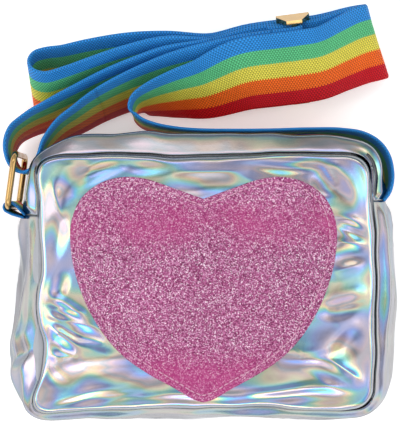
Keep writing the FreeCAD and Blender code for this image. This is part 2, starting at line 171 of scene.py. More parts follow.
def outline(half_width, bottom, top, r_low, r_high):
    """Points round the bag, anticlockwise from the middle of the top."""
    corners = [
        (-half_width + r_high, top - r_high, r_high, 90),
        (-half_width + r_low, bottom + r_low, r_low, 180),
        (half_width - r_low, bottom + r_low, r_low, 270),
        (half_width - r_high, top - r_high, r_high, 0),
    ]
    points = []
    for cx, cy, radius, start in corners:
        for i in range(ARC_STEPS + 1):
            angle = math.radians(start + 90 * i / ARC_STEPS)
            points.append((cx + radius * math.cos(angle), cy + radius * math.sin(angle)))
    dense = []
    for i, (x, y) in enumerate(points):
        x2, y2 = points[(i + 1) % len(points)]
        steps = SIDE_STEPS if i % (ARC_STEPS + 1) == ARC_STEPS else 1
        dense += [(x + (x2 - x) * k / steps, y + (y2 - y) * k / steps) for k in range(steps)]
    middle = SIDE_STEPS // 2
    return dense[-middle:] + dense[:-middle]


def top_profile(z):
    """Reading of TOP_PROFILE, smooth between its rows."""
    rows = TOP_PROFILE
    i = max((k for k in range(len(rows) - 1) if rows[k][0] <= z), default=0)
    (z1, y1), (z2, y2) = rows[i], rows[i + 1]
    z0, y0 = rows[max(i - 1, 0)]
    z3, y3 = rows[min(i + 2, len(rows) - 1)]
    t = (z - z1) / (z2 - z1)
    leave = (y2 - y0) / (z2 - z0) * (z2 - z1)
    arrive = (y3 - y1) / (z3 - z1) * (z2 - z1)
    start, leaving, end, arriving = ease_weights(t)
    return start * y1 + end * y2 + (leaving * leave + arriving * arrive)


def gusset_form(z):
    """Outline sizes at a height, eased smoothly through the gusset's levels."""
    levels = GUSSET_LEVELS
    i = max(k for k in range(len(levels) - 1) if levels[k][0] <= z or k == 0)
    a = levels[max(i - 1, 0)]
    b = levels[i]
    c = levels[i + 1]
    d = levels[min(i + 2, len(levels) - 1)]
    start, leaving, end, arriving = ease_weights((z - b[0]) / (c[0] - b[0]))
    sizes = []
    for k in range(1, 6):
        leave = (c[k] - a[k]) / (c[0] - a[0]) * (c[0] - b[0])
        arrive = (d[k] - b[k]) / (d[0] - b[0]) * (c[0] - b[0])
        if i == 0:
            leave = SEAM_SLOPE * (c[k] - b[k])
        if i == len(levels) - 2:
            arrive = SEAM_SLOPE * (c[k] - b[k])
        sizes.append(start * b[k] + leaving * leave + end * c[k] + arriving * arrive)
    sizes[2] = top_profile(z)
    return sizes


def resample(points, count):
    """The same line with its points spread evenly."""
    lengths = [0.0]
    for p, q in zip(points, points[1:]):
        lengths.append(lengths[-1] + math.dist(p, q))
    out = []
    k = 0
    for i in range(count):
        goal = lengths[-1] * i / (count - 1)
        while k < len(points) - 2 and lengths[k + 1] < goal:
            k += 1
        span = lengths[k + 1] - lengths[k] or 1.0
        t = (goal - lengths[k]) / span
        out.append(tuple(a + (b - a) * t for a, b in zip(points[k], points[k + 1])))
    return out


def cut_outline(z, inset, lower, count, past=0.0):
    """The stretch of the outline below, or above, the two side seams."""
    half_width, bottom, top, r_low, r_high = gusset_form(z)
    points = outline(half_width - inset, bottom + inset, top - inset, r_low - inset, r_high - inset)

    def above(p):
        return p[1] > (LEFT_SEAM_Y if p[0] < 0 else RIGHT_SEAM_Y) - past

    first = next(i for i, p in enumerate(points) if not above(p))
    last = max(i for i, p in enumerate(points) if not above(p))
    kept = points[first : last + 1] if lower else points[last:] + points[: first + 1]
    ends = []
    for p, q in ((points[first - 1], points[first]), (points[last], points[(last + 1) % len(points)])):
        seam = (LEFT_SEAM_Y if p[0] < 0 else RIGHT_SEAM_Y) - past
        t = (seam - p[1]) / (q[1] - p[1])
        ends.append((p[0] + (q[0] - p[0]) * t, seam))
    if lower:
        kept[0], kept[-1] = ends
    else:
        kept[0], kept[-1] = ends[1], ends[0]
    return resample(kept, count)


class Nodes:
    """A node tree with short calls for adding and joining nodes."""

    def __init__(self, tree):
        self.tree = tree

    def add(self, kind, **settings):
        node = self.tree.nodes.new(kind)
        for key, value in settings.items():
            setattr(node, key, value)
        return node

    def join(self, source, target):
        self.tree.links.new(source, target)

    def math(self, operation, a, b=0.0, clamp=False):
        node = self.add("ShaderNodeMath", operation=operation, use_clamp=clamp)
        for socket, value in zip(node.inputs, (a, b)):
            self.feed(socket, value)
        return node.outputs[0]

    def feed(self, socket, value):
        if isinstance(value, bpy.types.NodeSocket):
            self.join(value, socket)
        else:
            socket.default_value = value

    def noise(self, place, scale, detail=3.0, roughness=0.5, distortion=0.0):
        node = self.add("ShaderNodeTexNoise")
        self.join(place, node.inputs["Vector"])
        self.feed(node.inputs["Scale"], scale)
        node.inputs["Detail"].default_value = detail
        node.inputs["Roughness"].default_value = roughness
        node.inputs["Distortion"].default_value = distortion
        return node

    def ramp(self, factor, stops, interpolation="LINEAR"):
        node = self.add("ShaderNodeValToRGB")
        node.color_ramp.interpolation = interpolation
        elements = node.color_ramp.elements
        while len(elements) < len(stops):
            elements.new(0.5)
        for element, (position, colour) in zip(elements, stops):
            element.position = position
            element.color = (*colour, 1.0)
        self.join(factor, node.inputs["Fac"])
        return node.outputs["Color"]

    def mix(self, factor, a, b, blend="MIX"):
        node = self.add("ShaderNodeMix", data_type="RGBA", blend_type=blend)
        self.feed(node.inputs["Factor"], factor)
        for socket, value in ((node.inputs["A"], a), (node.inputs["B"], b)):
            self.feed(socket, (*value, 1.0) if isinstance(value, tuple) else value)
        return node.outputs["Result"]

    def range(self, value, low, high, to_low, to_high):
        node = self.add("ShaderNodeMapRange")
        for socket, setting in zip(node.inputs, (value, low, high, to_low, to_high)):
            self.feed(socket, setting)
        return node.outputs["Result"]

    def group(self, effect, **values):
        node = self.add("ShaderNodeGroup", node_tree=effect)
        for socket, value in values.items():
            self.feed(node.inputs[socket], value)
        return node

    def bump(self, height, strength, distance):
        node = self.add("ShaderNodeBump")
        node.inputs["Strength"].default_value = strength
        node.inputs["Distance"].default_value = distance
        self.join(height, node.inputs["Height"])
        return node.outputs["Normal"]


# Surface effects shared by several materials.
def effect_group(name, inputs, outputs):
    group = bpy.data.node_groups.new(name, "ShaderNodeTree")
    for socket, kind, value in inputs:
        made = group.interface.new_socket(socket, in_out="INPUT", socket_type=kind)
        made.default_value = value
    for socket, kind in outputs:
        group.interface.new_socket(socket, in_out="OUTPUT", socket_type=kind)
    nodes = Nodes(group)
    return group, nodes, nodes.add("NodeGroupInput"), nodes.add("NodeGroupOutput")


def make_tone_drift():
    """Slow change of lightness over a surface, so no area is one flat colour."""
    group, n, given, out = effect_group(
        "tone_drift",
        [
            ("Colour", "NodeSocketColor", (0.5, 0.5, 0.5, 1)),
            ("Scale", "NodeSocketFloat", 40.0),
            ("Amount", "NodeSocketFloat", 0.15),
        ],
        [("Colour", "NodeSocketColor"), ("Mask", "NodeSocketFloat")],
    )
    place = n.add("ShaderNodeTexCoord").outputs["Object"]
    drift = n.noise(place, given.outputs["Scale"], detail=4.0, roughness=0.6).outputs["Fac"]
    swing = n.math("MULTIPLY", n.math("SUBTRACT", drift, 0.5), given.outputs["Amount"])
    level = n.math("ADD", n.math("MULTIPLY", swing, 2.0), 1.0)
    scaled = n.add("ShaderNodeVectorMath", operation="SCALE")
    n.join(given.outputs["Colour"], scaled.inputs[0])
    n.join(level, scaled.inputs["Scale"])
    n.join(scaled.outputs[0], out.inputs["Colour"])
    n.join(drift, out.inputs["Mask"])
    return group


def make_plain_weave():
    """Over and under threads on a surface's lay coordinates: ribs across, finer ends along."""
    group, n, given, out = effect_group(
        "plain_weave",
        [("Ribs", "NodeSocketFloat", 900.0), ("Ends", "NodeSocketFloat", 40.0)],
        [("Height", "NodeSocketFloat"), ("Gaps", "NodeSocketFloat")],
    )
    lay = n.add("ShaderNodeSeparateXYZ")
    n.join(n.add("ShaderNodeTexCoord").outputs["UV"], lay.inputs[0])
    ends = n.math("MULTIPLY", lay.outputs["X"], given.outputs["Ends"])
    ribs = n.math("MULTIPLY", lay.outputs["Y"], given.outputs["Ribs"])
    shift = n.math("MULTIPLY", n.math("ROUND", n.math("FRACT", n.math("MULTIPLY", ends, 0.5))), 0.5)
    rib = n.math("SINE", n.math("MULTIPLY", n.math("ADD", ribs, shift), math.tau))
    end = n.math("SINE", n.math("MULTIPLY", ends, math.tau))
    height = n.math("ADD", n.math("MULTIPLY", rib, 0.35), n.math("MULTIPLY", end, 0.15))
    height = n.math("ADD", height, 0.5, clamp=True)
    n.join(height, out.inputs["Height"])
    n.join(n.math("LESS_THAN", height, 0.22), out.inputs["Gaps"])
    return group


TONE_DRIFT = make_tone_drift()
PLAIN_WEAVE = make_plain_weave()


def new_material(name):
    material = bpy.data.materials.new(name)
    material.use_nodes = True
    nodes = Nodes(material.node_tree)
    return material, nodes, material.node_tree.nodes["Principled BSDF"]


# Bands of the film, by share of one round of the rainbow.
RAINBOW = [
    (0.00, (0.46, 0.47, 0.50)),
    (0.10, (0.76, 0.54, 0.41)),
    (0.20, (0.80, 0.74, 0.42)),
    (0.32, (0.32, 0.72, 0.50)),
    (0.46, (0.14, 0.55, 0.80)),
    (0.60, (0.24, 0.36, 0.80)),
    (0.74, (0.45, 0.42, 0.68)),
    (0.88, (0.66, 0.50, 0.55)),
    (1.00, (0.46, 0.47, 0.50)),
]


def make_film():
    """Iridescent silver film: pastel bands that follow the tilt of each fold, with painted shade on steep
    slopes (more on the left-facing ones), on slopes tilted to the top, in the seams and in the fold valleys.
    """
    material, n, shader = new_material("iridescent_film")
    place = n.add("ShaderNodeTexCoord").outputs["Object"]
    tilt = n.add("ShaderNodeSeparateXYZ")
    n.join(n.add("ShaderNodeNewGeometry").outputs["Normal"], tilt.inputs[0])
    drift = n.noise(place, 22.0, detail=2.0, distortion=0.6).outputs["Fac"]
    phase = n.math("MULTIPLY", tilt.outputs["X"], 2.0)
    phase = n.math("ADD", phase, n.math("MULTIPLY", tilt.outputs["Y"], 1.7))
    phase = n.math("ADD", phase, n.math("MULTIPLY", drift, 1.0))
    phase = n.math("ADD", phase, n.add("ShaderNodeAttribute", attribute_name="hue_zone").outputs["Fac"])
    bands = n.ramp(n.math("FRACT", phase), RAINBOW)
    slope = n.math("SUBTRACT", 1.0, n.math("ABSOLUTE", tilt.outputs["Z"]))
    strength = n.range(slope, 0.0, 0.03, 0.55, 0.95)
    strength = n.math("MULTIPLY", strength, n.range(slope, 0.05, 0.3, 1.0, 0.3))
    silver = n.group(TONE_DRIFT, Colour=(0.50, 0.51, 0.54, 1), Scale=55.0, Amount=0.12)
    colour = n.mix(strength, silver.outputs["Colour"], bands)
    # Painted shade: steep slopes take a dark grey, darker on those facing left than on those facing right.
    rightward = n.range(tilt.outputs["X"], -0.5, 0.5, 0.0, 1.0)
    painted_side_shade = n.mix(rightward, (0.135, 0.14, 0.155), (0.27, 0.275, 0.29))
    steep = n.group(TONE_DRIFT, Colour=painted_side_shade, Scale=48.0, Amount=0.6)
    colour = n.mix(n.range(slope, 0.1, 0.6, 0.0, 0.82), colour, steep.outputs["Colour"])
    # Painted shade: slopes that tilt toward the top of the bag turn dark grey.
    colour = n.mix(n.range(tilt.outputs["Y"], 0.1, 0.42, 0.0, 0.7), colour, (0.21, 0.235, 0.255))
    # Painted shade in the seams' grooves, in the fold valleys and at the strips' ends, from a value stored on
    # each point.
    seam = n.add("ShaderNodeAttribute", attribute_name="painted_seam_fold_shade").outputs["Fac"]
    colour = n.mix(n.math("MULTIPLY", seam, 0.85), colour, (0.03, 0.03, 0.035))
    n.join(colour, shader.inputs["Base Color"])
    shader.inputs["Metallic"].default_value = 1.0
    n.join(n.range(drift, 0.3, 0.7, 0.13, 0.24), shader.inputs["Roughness"])
    fine = n.noise(place, 260.0, detail=2.0, roughness=0.45).outputs["Fac"]
    n.join(n.bump(fine, 0.08, 0.0005), shader.inputs["Normal"])
    return material


def make_glitter():
    """Pink glitter sheet: small flakes, each with its own tint, gloss and tilt, crossed by bands of painted
    shade in a deeper pink.
    """
    material, n, shader = new_material("pink_glitter")
    place = n.add("ShaderNodeTexCoord").outputs["Object"]
    flakes = n.add("ShaderNodeTexVoronoi")
    n.join(place, flakes.inputs["Vector"])
    flakes.inputs["Scale"].default_value = 2500.0
    pick = n.add("ShaderNodeSeparateColor")
    n.join(flakes.outputs["Color"], pick.inputs[0])
    tint = n.ramp(
        pick.outputs["Red"],
        [
            (0.00, (0.12, 0.010, 0.060)),
            (0.25, (0.23, 0.02, 0.113)),
            (0.52, (0.43, 0.078, 0.237)),
            (0.78, (0.59, 0.23, 0.42)),
            (0.92, (0.80, 0.54, 0.70)),
            (1.00, (1.00, 0.95, 0.98)),
        ],
    )
    bed = n.group(TONE_DRIFT, Colour=tint, Scale=26.0, Amount=0.2)
    # Painted shade: bands across the heart, set by its height in y, take the deeper pink.
    level = n.add("ShaderNodeSeparateXYZ")
    n.join(place, level.inputs[0])
    height = n.math("ADD", level.outputs["Y"], n.math("MULTIPLY", bed.outputs["Mask"], 0.03))
    painted_shade_bands = n.ramp(
        n.range(height, -0.05, 0.07, 0.0, 1.0),
        [
            (0.00, (0.3, 0.3, 0.3)),
            (0.16, (1.0, 1.0, 1.0)),
            (0.30, (0.1, 0.1, 0.1)),
            (0.62, (0.0, 0.0, 0.0)),
            (0.77, (0.9, 0.9, 0.9)),
            (0.92, (0.1, 0.1, 0.1)),
        ],
        "EASE",
    )
    patches = n.range(n.noise(place, 30.0, detail=2.0).outputs["Fac"], 0.38, 0.58, 0.2, 0.65)
    dyed = n.mix(patches, bed.outputs["Colour"], (0.46, 0.026, 0.19))
    deep = n.mix(painted_shade_bands, bed.outputs["Colour"], dyed)
    n.join(deep, shader.inputs["Base Color"])
    shader.inputs["Metallic"].default_value = 0.35
    n.join(n.range(pick.outputs["Green"], 0.0, 1.0, 0.3, 0.65), shader.inputs["Roughness"])
    n.join(n.bump(pick.outputs["Blue"], 0.4, 0.0003), shader.inputs["Normal"])
    return material


# Stripes of the webbing, by share of its width.
STRIPES = [
    (0.0, (0.500, 0.006, 0.015)),
    (0.2, (0.770, 0.120, 0.013)),
    (0.4, (0.645, 0.570, 0.073)),
    (0.6, (0.096, 0.465, 0.200)),
    (0.8, (0.024, 0.228, 0.605)),
]


def make_webbing():
    """Five woven colour stripes across the webbing, with its ribs."""
    material, n, shader = new_material("striped_webbing")
    lay = n.add("ShaderNodeSeparateXYZ")
    n.join(n.add("ShaderNodeTexCoord").outputs["UV"], lay.inputs[0])
    weave = n.group(PLAIN_WEAVE, Ribs=0.7, Ends=36.0)
    wander = n.math("MULTIPLY", n.math("SUBTRACT", weave.outputs["Height"], 0.5), 0.02)
    stripes = n.ramp(n.math("ADD", lay.outputs["X"], wander), STRIPES, "CONSTANT")
    dyed = n.group(TONE_DRIFT, Colour=stripes, Scale=90.0, Amount=0.12)
    light = n.range(weave.outputs["Height"], 0.1, 0.9, 0.5, 1.45)
    shade = n.add("ShaderNodeVectorMath", operation="SCALE")
    n.join(dyed.outputs["Colour"], shade.inputs[0])
    n.join(light, shade.inputs["Scale"])
    n.join(shade.outputs[0], shader.inputs["Base Color"])
    shader.inputs["Roughness"].default_value = 0.6
    shader.inputs["Specular IOR Level"].default_value = 0.18
    n.join(n.bump(weave.outputs["Height"], 0.6, 0.0005), shader.inputs["Normal"])
    return material


def make_gold():
    """Pale gold plating, brighter and duller in soft patches."""
    material, n, shader = new_material("pale_gold")
    tone = n.group(TONE_DRIFT, Colour=(0.55, 0.35, 0.14, 1), Scale=120.0, Amount=0.12)
    n.join(tone.outputs["Colour"], shader.inputs["Base Color"])
    shader.inputs["Metallic"].default_value = 1.0
    n.join(n.range(tone.outputs["Mask"], 0.3, 0.7, 0.12, 0.26), shader.inputs["Roughness"])
    return material


def make_cloth(name, colour, ribs, ends):
    """Plain woven cloth on a piece with lay coordinates."""
    material, n, shader = new_material(name)
    weave = n.group(PLAIN_WEAVE, Ribs=ribs, Ends=ends)
    tone = n.group(TONE_DRIFT, Colour=colour, Scale=70.0, Amount=0.15)
    shade = n.mix(n.math("MULTIPLY", weave.outputs["Gaps"], 0.3), tone.outputs["Colour"], (0.05, 0.05, 0.05))
    n.join(shade, shader.inputs["Base Color"])
    shader.inputs["Roughness"].default_value = 0.8
    n.join(n.bump(weave.outputs["Height"], 0.4, 0.0004), shader.inputs["Normal"])
    return material


def make_plain(name, colour, roughness, scale, amount):
    """Moulded or spun surface with a slow tone change and a fine grain."""
    material, n, shader = new_material(name)
    tone = n.group(TONE_DRIFT, Colour=colour, Scale=scale, Amount=amount)
    n.join(tone.outputs["Colour"], shader.inputs["Base Color"])
    dullness = n.range(tone.outputs["Mask"], 0.3, 0.7, roughness - 0.08, roughness + 0.08)
    n.join(dullness, shader.inputs["Roughness"])
    grain = n.noise(n.add("ShaderNodeTexCoord").outputs["Object"], 2400.0).outputs["Fac"]
    n.join(n.bump(grain, 0.2, 0.0002), shader.inputs["Normal"])
    return material


FILM = make_film()
GLITTER = make_glitter()
WEBBING = make_webbing()
GOLD = make_gold()
ZIP_TAPE = make_cloth("zip_tape_weave", (0.55, 0.56, 0.58, 1), 0.9, 14.0)
ZIP_TEETH = make_plain("zip_teeth_nylon", (0.66, 0.67, 0.69, 1), 0.35, 200.0, 0.12)
LINING = make_plain("lining_cloth", (0.42, 0.43, 0.46, 1), 0.8, 150.0, 0.2)
PINK_THREAD = make_plain("pink_thread", (0.74, 0.38, 0.54, 1), 0.55, 300.0, 0.2)


# Film shell: every piece is one sheet with the folds that the sewing draws into it.
# Leaf-shaped puckers in the front film: middle x and y, half length, half width, angle and depth.
FRONT_PUCKERS = [
    (-68.0, -17.0, 14.0, 4.6, -26, 1.3), (-60.0, -26.5, 21.0, 5.4, -24, 1.0),
    (-71.0, -33.0, 9.0, 6.5, -40, 1.1), (-57.5, -46.0, 26.0, 7.0, 10, 0.9),
    (-60.0, -59.0, 24.0, 4.0, 12, 1.0), (-72.0, 22.0, 16.0, 7.0, 86, 0.8),
    (-70.7, -4.3, 10.0, 5.0, 62, 0.8), (-50.0, 53.0, 20.0, 5.2, 24, 1.2),
    (-66.0, 47.0, 15.0, 6.5, 55, 0.9), (-28.0, 55.0, 15.0, 5.0, -8, 0.8),
    (-2.4, 47.0, 20.0, 8.0, 0, 0.9), (36.0, 56.0, 26.0, 4.6, -4, 0.8),
    (62.0, 47.0, 17.0, 9.0, -50, 1.3), (72.0, 25.0, 11.0, 4.0, -20, 1.1),
    (71.0, 12.5, 13.0, 6.0, 8, 0.6), (68.5, -13.5, 16.0, 6.5, 9, 1.1),
    (70.0, -32.0, 12.0, 8.0, 30, 0.9), (60.0, -46.0, 17.0, 5.0, -20, 0.5),
    (40.0, -57.5, 36.0, 4.2, 4, 1.0), (0.0, -59.5, 24.0, 3.4, 0, 0.7),
]
# Sharp creases in the front film: x and y of both ends, height and reach to each side.
FRONT_CREASES = [
    (-81.0, -12.5, -58.0, -15.5, 0.6, 3.0), (-81.0, -16.0, -52.0, -23.0, 0.7, 3.0),
    (-80.0, -20.0, -62.0, -30.0, 0.6, 3.2), (-64.0, -29.0, -46.0, -32.0, 0.5, 3.4),
    (-81.0, -36.0, -62.0, -37.5, 0.8, 3.0), (-80.0, -35.0, -69.0, -23.0, 0.6, 3.0),
    (-80.0, -37.0, -66.0, -50.0, 0.5, 4.0), (-74.0, -59.0, -30.0, -53.5, 0.6, 3.6),
    (-66.0, 46.0, -40.0, 57.0, 0.5, 3.4), (-75.0, 51.0, -70.0, 30.0, 0.5, 3.4),
    (-16.0, 53.0, 22.0, 54.0, 0.5, 3.2), (64.0, 28.5, 82.0, 21.0, 0.7, 2.6),
    (63.0, 19.5, 82.0, 17.5, 0.6, 2.6), (63.0, 4.5, 79.0, 9.5, 0.5, 3.0),
    (60.0, -14.5, 82.0, -9.0, 0.6, 3.2), (36.0, -38.5, 61.0, -38.0, 0.4, 3.0),
    (58.0, -36.5, 78.0, -49.5, 0.7, 3.4), (20.0, -56.0, 75.0, -50.0, 0.6, 3.2),
    (56.0, 60.0, 65.0, 46.0, 0.6, 3.4),
]
# Where the sewing draws the front seam in, or lets it out: x, y and how far outward.
SEAM_STRAYS = [
    (-84.7, 46.0, -2.3), (-84.7, 34.0, -2.3), (-84.7, 25.0, -2.0), (-84.7, 16.0, -3.4),
    (-84.7, 5.0, -4.0), (-84.7, -7.0, -1.0), (-84.7, -15.0, -1.0), (-84.7, -23.0, -2.8),
    (-84.7, -35.0, -5.0), (-84.7, -43.0, -3.8), (-84.7, -52.0, -3.0), (-82.0, -61.6, 4.4),
    (-72.0, -64.3, 0.6), (-50.0, -64.3, -0.6), (-20.0, -64.3, -1.6), (10.0, -64.3, -2.0),
    (30.0, -64.3, -2.6), (50.0, -64.3, -0.6), (66.0, -64.3, 0.2), (81.0, -61.0, -0.6),
    (84.7, -50.0, -0.8), (84.7, -36.0, 0.6), (84.7, -20.0, 0.0), (84.7, -6.0, 0.4),
    (84.7, 5.0, 0.6), (84.7, 14.0, -0.8), (84.7, 24.0, 0.6), (84.7, 33.0, -0.6),
    (84.7, 42.0, -2.2), (84.7, 50.0, -2.4), (70.0, 62.3, 0.6), (50.0, 62.3, 0.9),
    (38.0, 62.3, 1.4), (22.0, 62.3, 0.0), (0.0, 62.3, -0.6), (-14.0, 62.3, -1.2),
    (-32.0, 62.3, 0.2), (-45.0, 62.3, 0.6), (-60.0, 62.3, 0.2), (-70.0, 62.3, -1.0),
    (-80.0, 57.6, 2.0), (80.0, 57.6, 1.8),
]
STRAY_REACH = 9.0
# How far from the seam, inward and down, the film follows those strays.
STRAY_DEPTH = 14.0
# Middle of the bag to its seam, about, and the bottom of the groove that the front seam lies in.
SEAM_RADIUS = 78.0
GROOVE_Z = FRONT_SEAM_Z - 2.2
# Slow drift of the film's bands over the front: share of the rainbow, size in millimetres and seed.
HUE_DRIFT = 0.9
HUE_SIZE = 21.0
HUE_SEED = 12.7
# Raised side of each pucker: share of its depth, and middle and reach in shares of its size.
RIDGE_SHARE = 0.32
RIDGE_AT = 1.15
RIDGE_REACH = 0.42
# Factor on the heights of all the creases.
CREASE_LIFT = 1.3
# Front film over its seam: foot, rise and width of the rolled lip, and rise of the face to its middle.
LIP_FOOT_Z = FRONT_SEAM_Z - 0.3
LIP_RISE = 5.4
LIP_ROLL = 2.2
CROWN_RISE = 1.7
# Rings of the front film, in from its seam: close over the lip, wider toward the middle, and their spread.
FRONT_INSETS = [0.0, 0.04, 0.2, 0.45, 0.8, 1.3, 1.9, 2.7, 3.6]
FRONT_INSETS += [4.3 + 0.7 * i for i in range(30)]
FRONT_INSETS += [26.0 + 1.6 * i for i in range(12)]
RING_SPREAD = 1.3
# Rings of the back film, and its rounded edge.
BACK_INSETS = [0.0, 0.4, 1.0, 1.8, 2.8, 4.0, 6.0, 12.0, 24.0, 40.0, 55.0]
BACK_EDGE_WIDTH = 4.0
BACK_EDGE_RISE = 4.6
# Gusset, outward: its long folds, the roll beside the front seam with its drop and reach below it,
# and the deepest that any fold may go.
LONG_FOLD = 1.7
ROLL_HEIGHT = 1.5
ROLL_DROP = 4.2
ROLL_REACH = 2.6
DEEPEST_FOLD = -1.9
# Where its sides bag out or draw in: y of the middle, reach along the side and how far outward.
LEFT_BULGES = [(-41.0, 20.0, 3.6), (10.0, 18.0, -1.2)]
RIGHT_BULGES = [(-4.0, 26.0, 2.0), (-56.0, 12.0, -1.0)]
# Pinch in the left side, which slants as it goes down, and the lips that stand up beside it.
PINCH_Y = -35.2
PINCH_SLANT = 0.3
PINCH_DEPTH = 1.8
PINCH_LIP = 1.2
# Bulge at the upper right corner: its place, reach and height.
CORNER_BULGE_AT = (76.0, 58.0)
CORNER_BULGE_REACH = 15.0
CORNER_BULGE = 2.5
# Edge that rolls down into the front seam: height, level of its outline, inset and its painted shade in the
# groove.
SEAM_ROLL = [
    (FRONT_SEAM_Z - 0.35, FRONT_SEAM_Z - 0.35, 0.3, 0.1),
    (FRONT_SEAM_Z - 0.2, FRONT_SEAM_Z, 0.0, 0.6),
    (GROOVE_Z, FRONT_SEAM_Z, 0.4, 1.0),
]


def seam_stray(x, y):
    """How far the front seam strays outward near a place on it."""
    total, weight = 0.0, 0.05
    for ax, ay, shift in SEAM_STRAYS:
        near = math.exp(-((x - ax) ** 2 + (y - ay) ** 2) / STRAY_REACH**2)
        total += near * shift
        weight += near
    return total / weight + 0.35 * waver(x, y, 9.1, 11.0)


def hue_zone(x, y):
    """How far along the rainbow a flat stretch of film starts here."""
    return HUE_DRIFT * waver(x, y, HUE_SEED, HUE_SIZE)


def pucker_depth(x, y):
    """Height of the front film's puckers, each with a sharper ridge along its upper side."""
    height = 0.0
    x, y = x + 3.0 * waver(x, y, 31.0, 26.0), y + 2.6 * waver(x, y, 37.0, 22.0)
    for cx, cy, half_length, half_width, angle, depth in FRONT_PUCKERS:
        dx, dy = x - cx, y - cy
        if abs(dx) + abs(dy) > 2.2 * half_length:
            continue
        turn = math.radians(angle)
        u = (dx * math.cos(turn) + dy * math.sin(turn)) / half_length
        v = (dy * math.cos(turn) - dx * math.sin(turn)) / half_width
        r = math.hypot(u, v)
        if r < 1:
            height -= depth * (1 - r * r) ** 2
        if v > 0:
            height += RIDGE_SHARE * depth * swell(r, RIDGE_AT, RIDGE_REACH) * v / r
    return height


def crease_lines(x, y):
    """Height of the sharp creases, each strongest in its middle."""
    height = 0.0
    for x1, y1, x2, y2, rise, reach in FRONT_CREASES:
        span = (x2 - x1) ** 2 + (y2 - y1) ** 2
        t = min(max(((x - x1) * (x2 - x1) + (y - y1) * (y2 - y1)) / span, 0.0), 1.0)
        away = math.hypot(x - x1 - t * (x2 - x1), y - y1 - t * (y2 - y1))
        if away < 5 * reach:
            height += CREASE_LIFT * rise * math.exp(-away / reach) * (1 - (2 * t - 1) ** 2)
    return height


def fold_relief(x, y):
    """Slow folds of the front film: long along the top and bottom, shorter at the sides."""
    u = x + 8.0 * waver(x, y, 11.3, 40.0)
    v = y + 6.0 * waver(x, y, 17.9, 32.0)
    at_side = smoothstep(50.0, 72.0, abs(x)) * (1 - smoothstep(-40.0, -54.0, y))
    long_folds = crease(u / 70.0, v / 15.0, 2.6)
    side_folds = crease(u / 44.0, v / 22.0, 8.2)
    return 0.6 * (long_folds + (side_folds - long_folds) * at_side) - 0.3 + waver(x, y, 21.0, 36.0)


def panel_folds(x, y):
    """All that the front film's folds add to its height where it lies loose."""
    return pucker_depth(x, y) + crease_lines(x, y) + fold_relief(x, y)


def panel_height(x, y, inset, folds):
    """Height of the front film, from the seam's groove up over the lip to the face."""
    roll = LIP_ROLL + waver(x, y, 6.1, 22.0)
    lip = LIP_RISE * math.sqrt(max(0.0, 1 - (1 - min(inset / roll, 1.0)) ** 2))
    crown = CROWN_RISE * smoothstep(2.0, 30.0, inset)
    loose = smoothstep(0.6, 8.0, inset) * (1 - under_heart(x, y))
    return LIP_FOOT_Z + lip + crown + folds * loose


def mark(piece, name, values):
    """Stores a value for each point, for the film's shading."""
    layer = piece.data.attributes.new(name, "FLOAT", "POINT")
    layer.data.foreach_set("value", values)


def front_panel():
    rim = outline(*SEAM_FORM)
    strays = [seam_stray(x, y) for x, y in rim]
    points, painted_shade = [], []
    for row, inset in enumerate(FRONT_INSETS):
        for (x, y), stray in zip(rim, strays):
            gap = 0.3 + 0.7 * smoothstep(62.0, 80.0, x)
            k = 1 - (inset * RING_SPREAD + gap) / min(math.hypot(x, y), SEAM_RADIUS)
            k += stray / SEAM_RADIUS * (1 - smoothstep(0.0, STRAY_DEPTH, inset))
            px, py = x * k, y * k
            folds = panel_folds(px, py)
            points.append((px, py, panel_height(px, py, inset, folds) if row else GROOVE_Z))
            # Painted shade for the film: darker in the fold valleys and, strongest of all, in the seam's
            # groove.
            valley_shade = 0.3 * smoothstep(0.2, -1.6, folds) * smoothstep(1.2, 6.0, inset)
            sewn = (1 - smoothstep(0.03, 0.3, inset)) * (0.75 + 0.25 * smoothstep(-64.0, -50.0, y))
            painted_shade.append(max(sewn, valley_shade))
    points.append((0.0, 0.0, panel_height(0.0, 0.0, FRONT_INSETS[-1], 0.0)))
    painted_shade.append(0.0)
    piece = make_mesh("front_film", points, ringed_faces(len(FRONT_INSETS), len(rim)), FILM)
    mark(piece, "painted_seam_fold_shade", painted_shade)
    mark(piece, "hue_zone", [hue_zone(x, y) for x, y, z in points])
    thicken(piece, FILM_THICKNESS)
    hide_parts("front_panel")
    return piece


def gusset_fold(x, y, along, z):
    """Folds along the strip, its roll beside the front seam, the pinch at the left, and where it bags out."""
    drop = FRONT_SEAM_Z - z
    drift = z + 4.0 * waver(along, z, 13.1, 40.0)
    fold = LONG_FOLD * crease(along / 80.0, drift / 10.0, 7.7) - 0.8 + 0.8 * waver(along, drift, 2.9, 18.0)
    fold += (ROLL_HEIGHT + 0.9 * waver(along, z, 5.7, 30.0)) * swell(drop, ROLL_DROP, ROLL_REACH)
    left = sum(rise * swell(y, middle, reach) for middle, reach, rise in LEFT_BULGES)
    off = y - PINCH_Y + PINCH_SLANT * drop
    held = 1 - smoothstep(6.0, 34.0, drop)
    left += held * (PINCH_LIP * swell(abs(off), 9.0, 5.0) - PINCH_DEPTH * swell(off, 0.0, 4.0))
    right = sum(rise * swell(y, middle, reach) for middle, reach, rise in RIGHT_BULGES)
    right += CORNER_BULGE * swell(math.dist((x, y), CORNER_BULGE_AT), 0.0, CORNER_BULGE_REACH)
    right += (1.2 + 0.8 * waver(along, z, 3.3, 24.0)) * swell(drop, 11.0 + 0.03 * y, 1.9)
    fold += left * smoothstep(-48.0, -80.0, x) + right * smoothstep(48.0, 80.0, x)
    return max(fold, DEEPEST_FOLD)


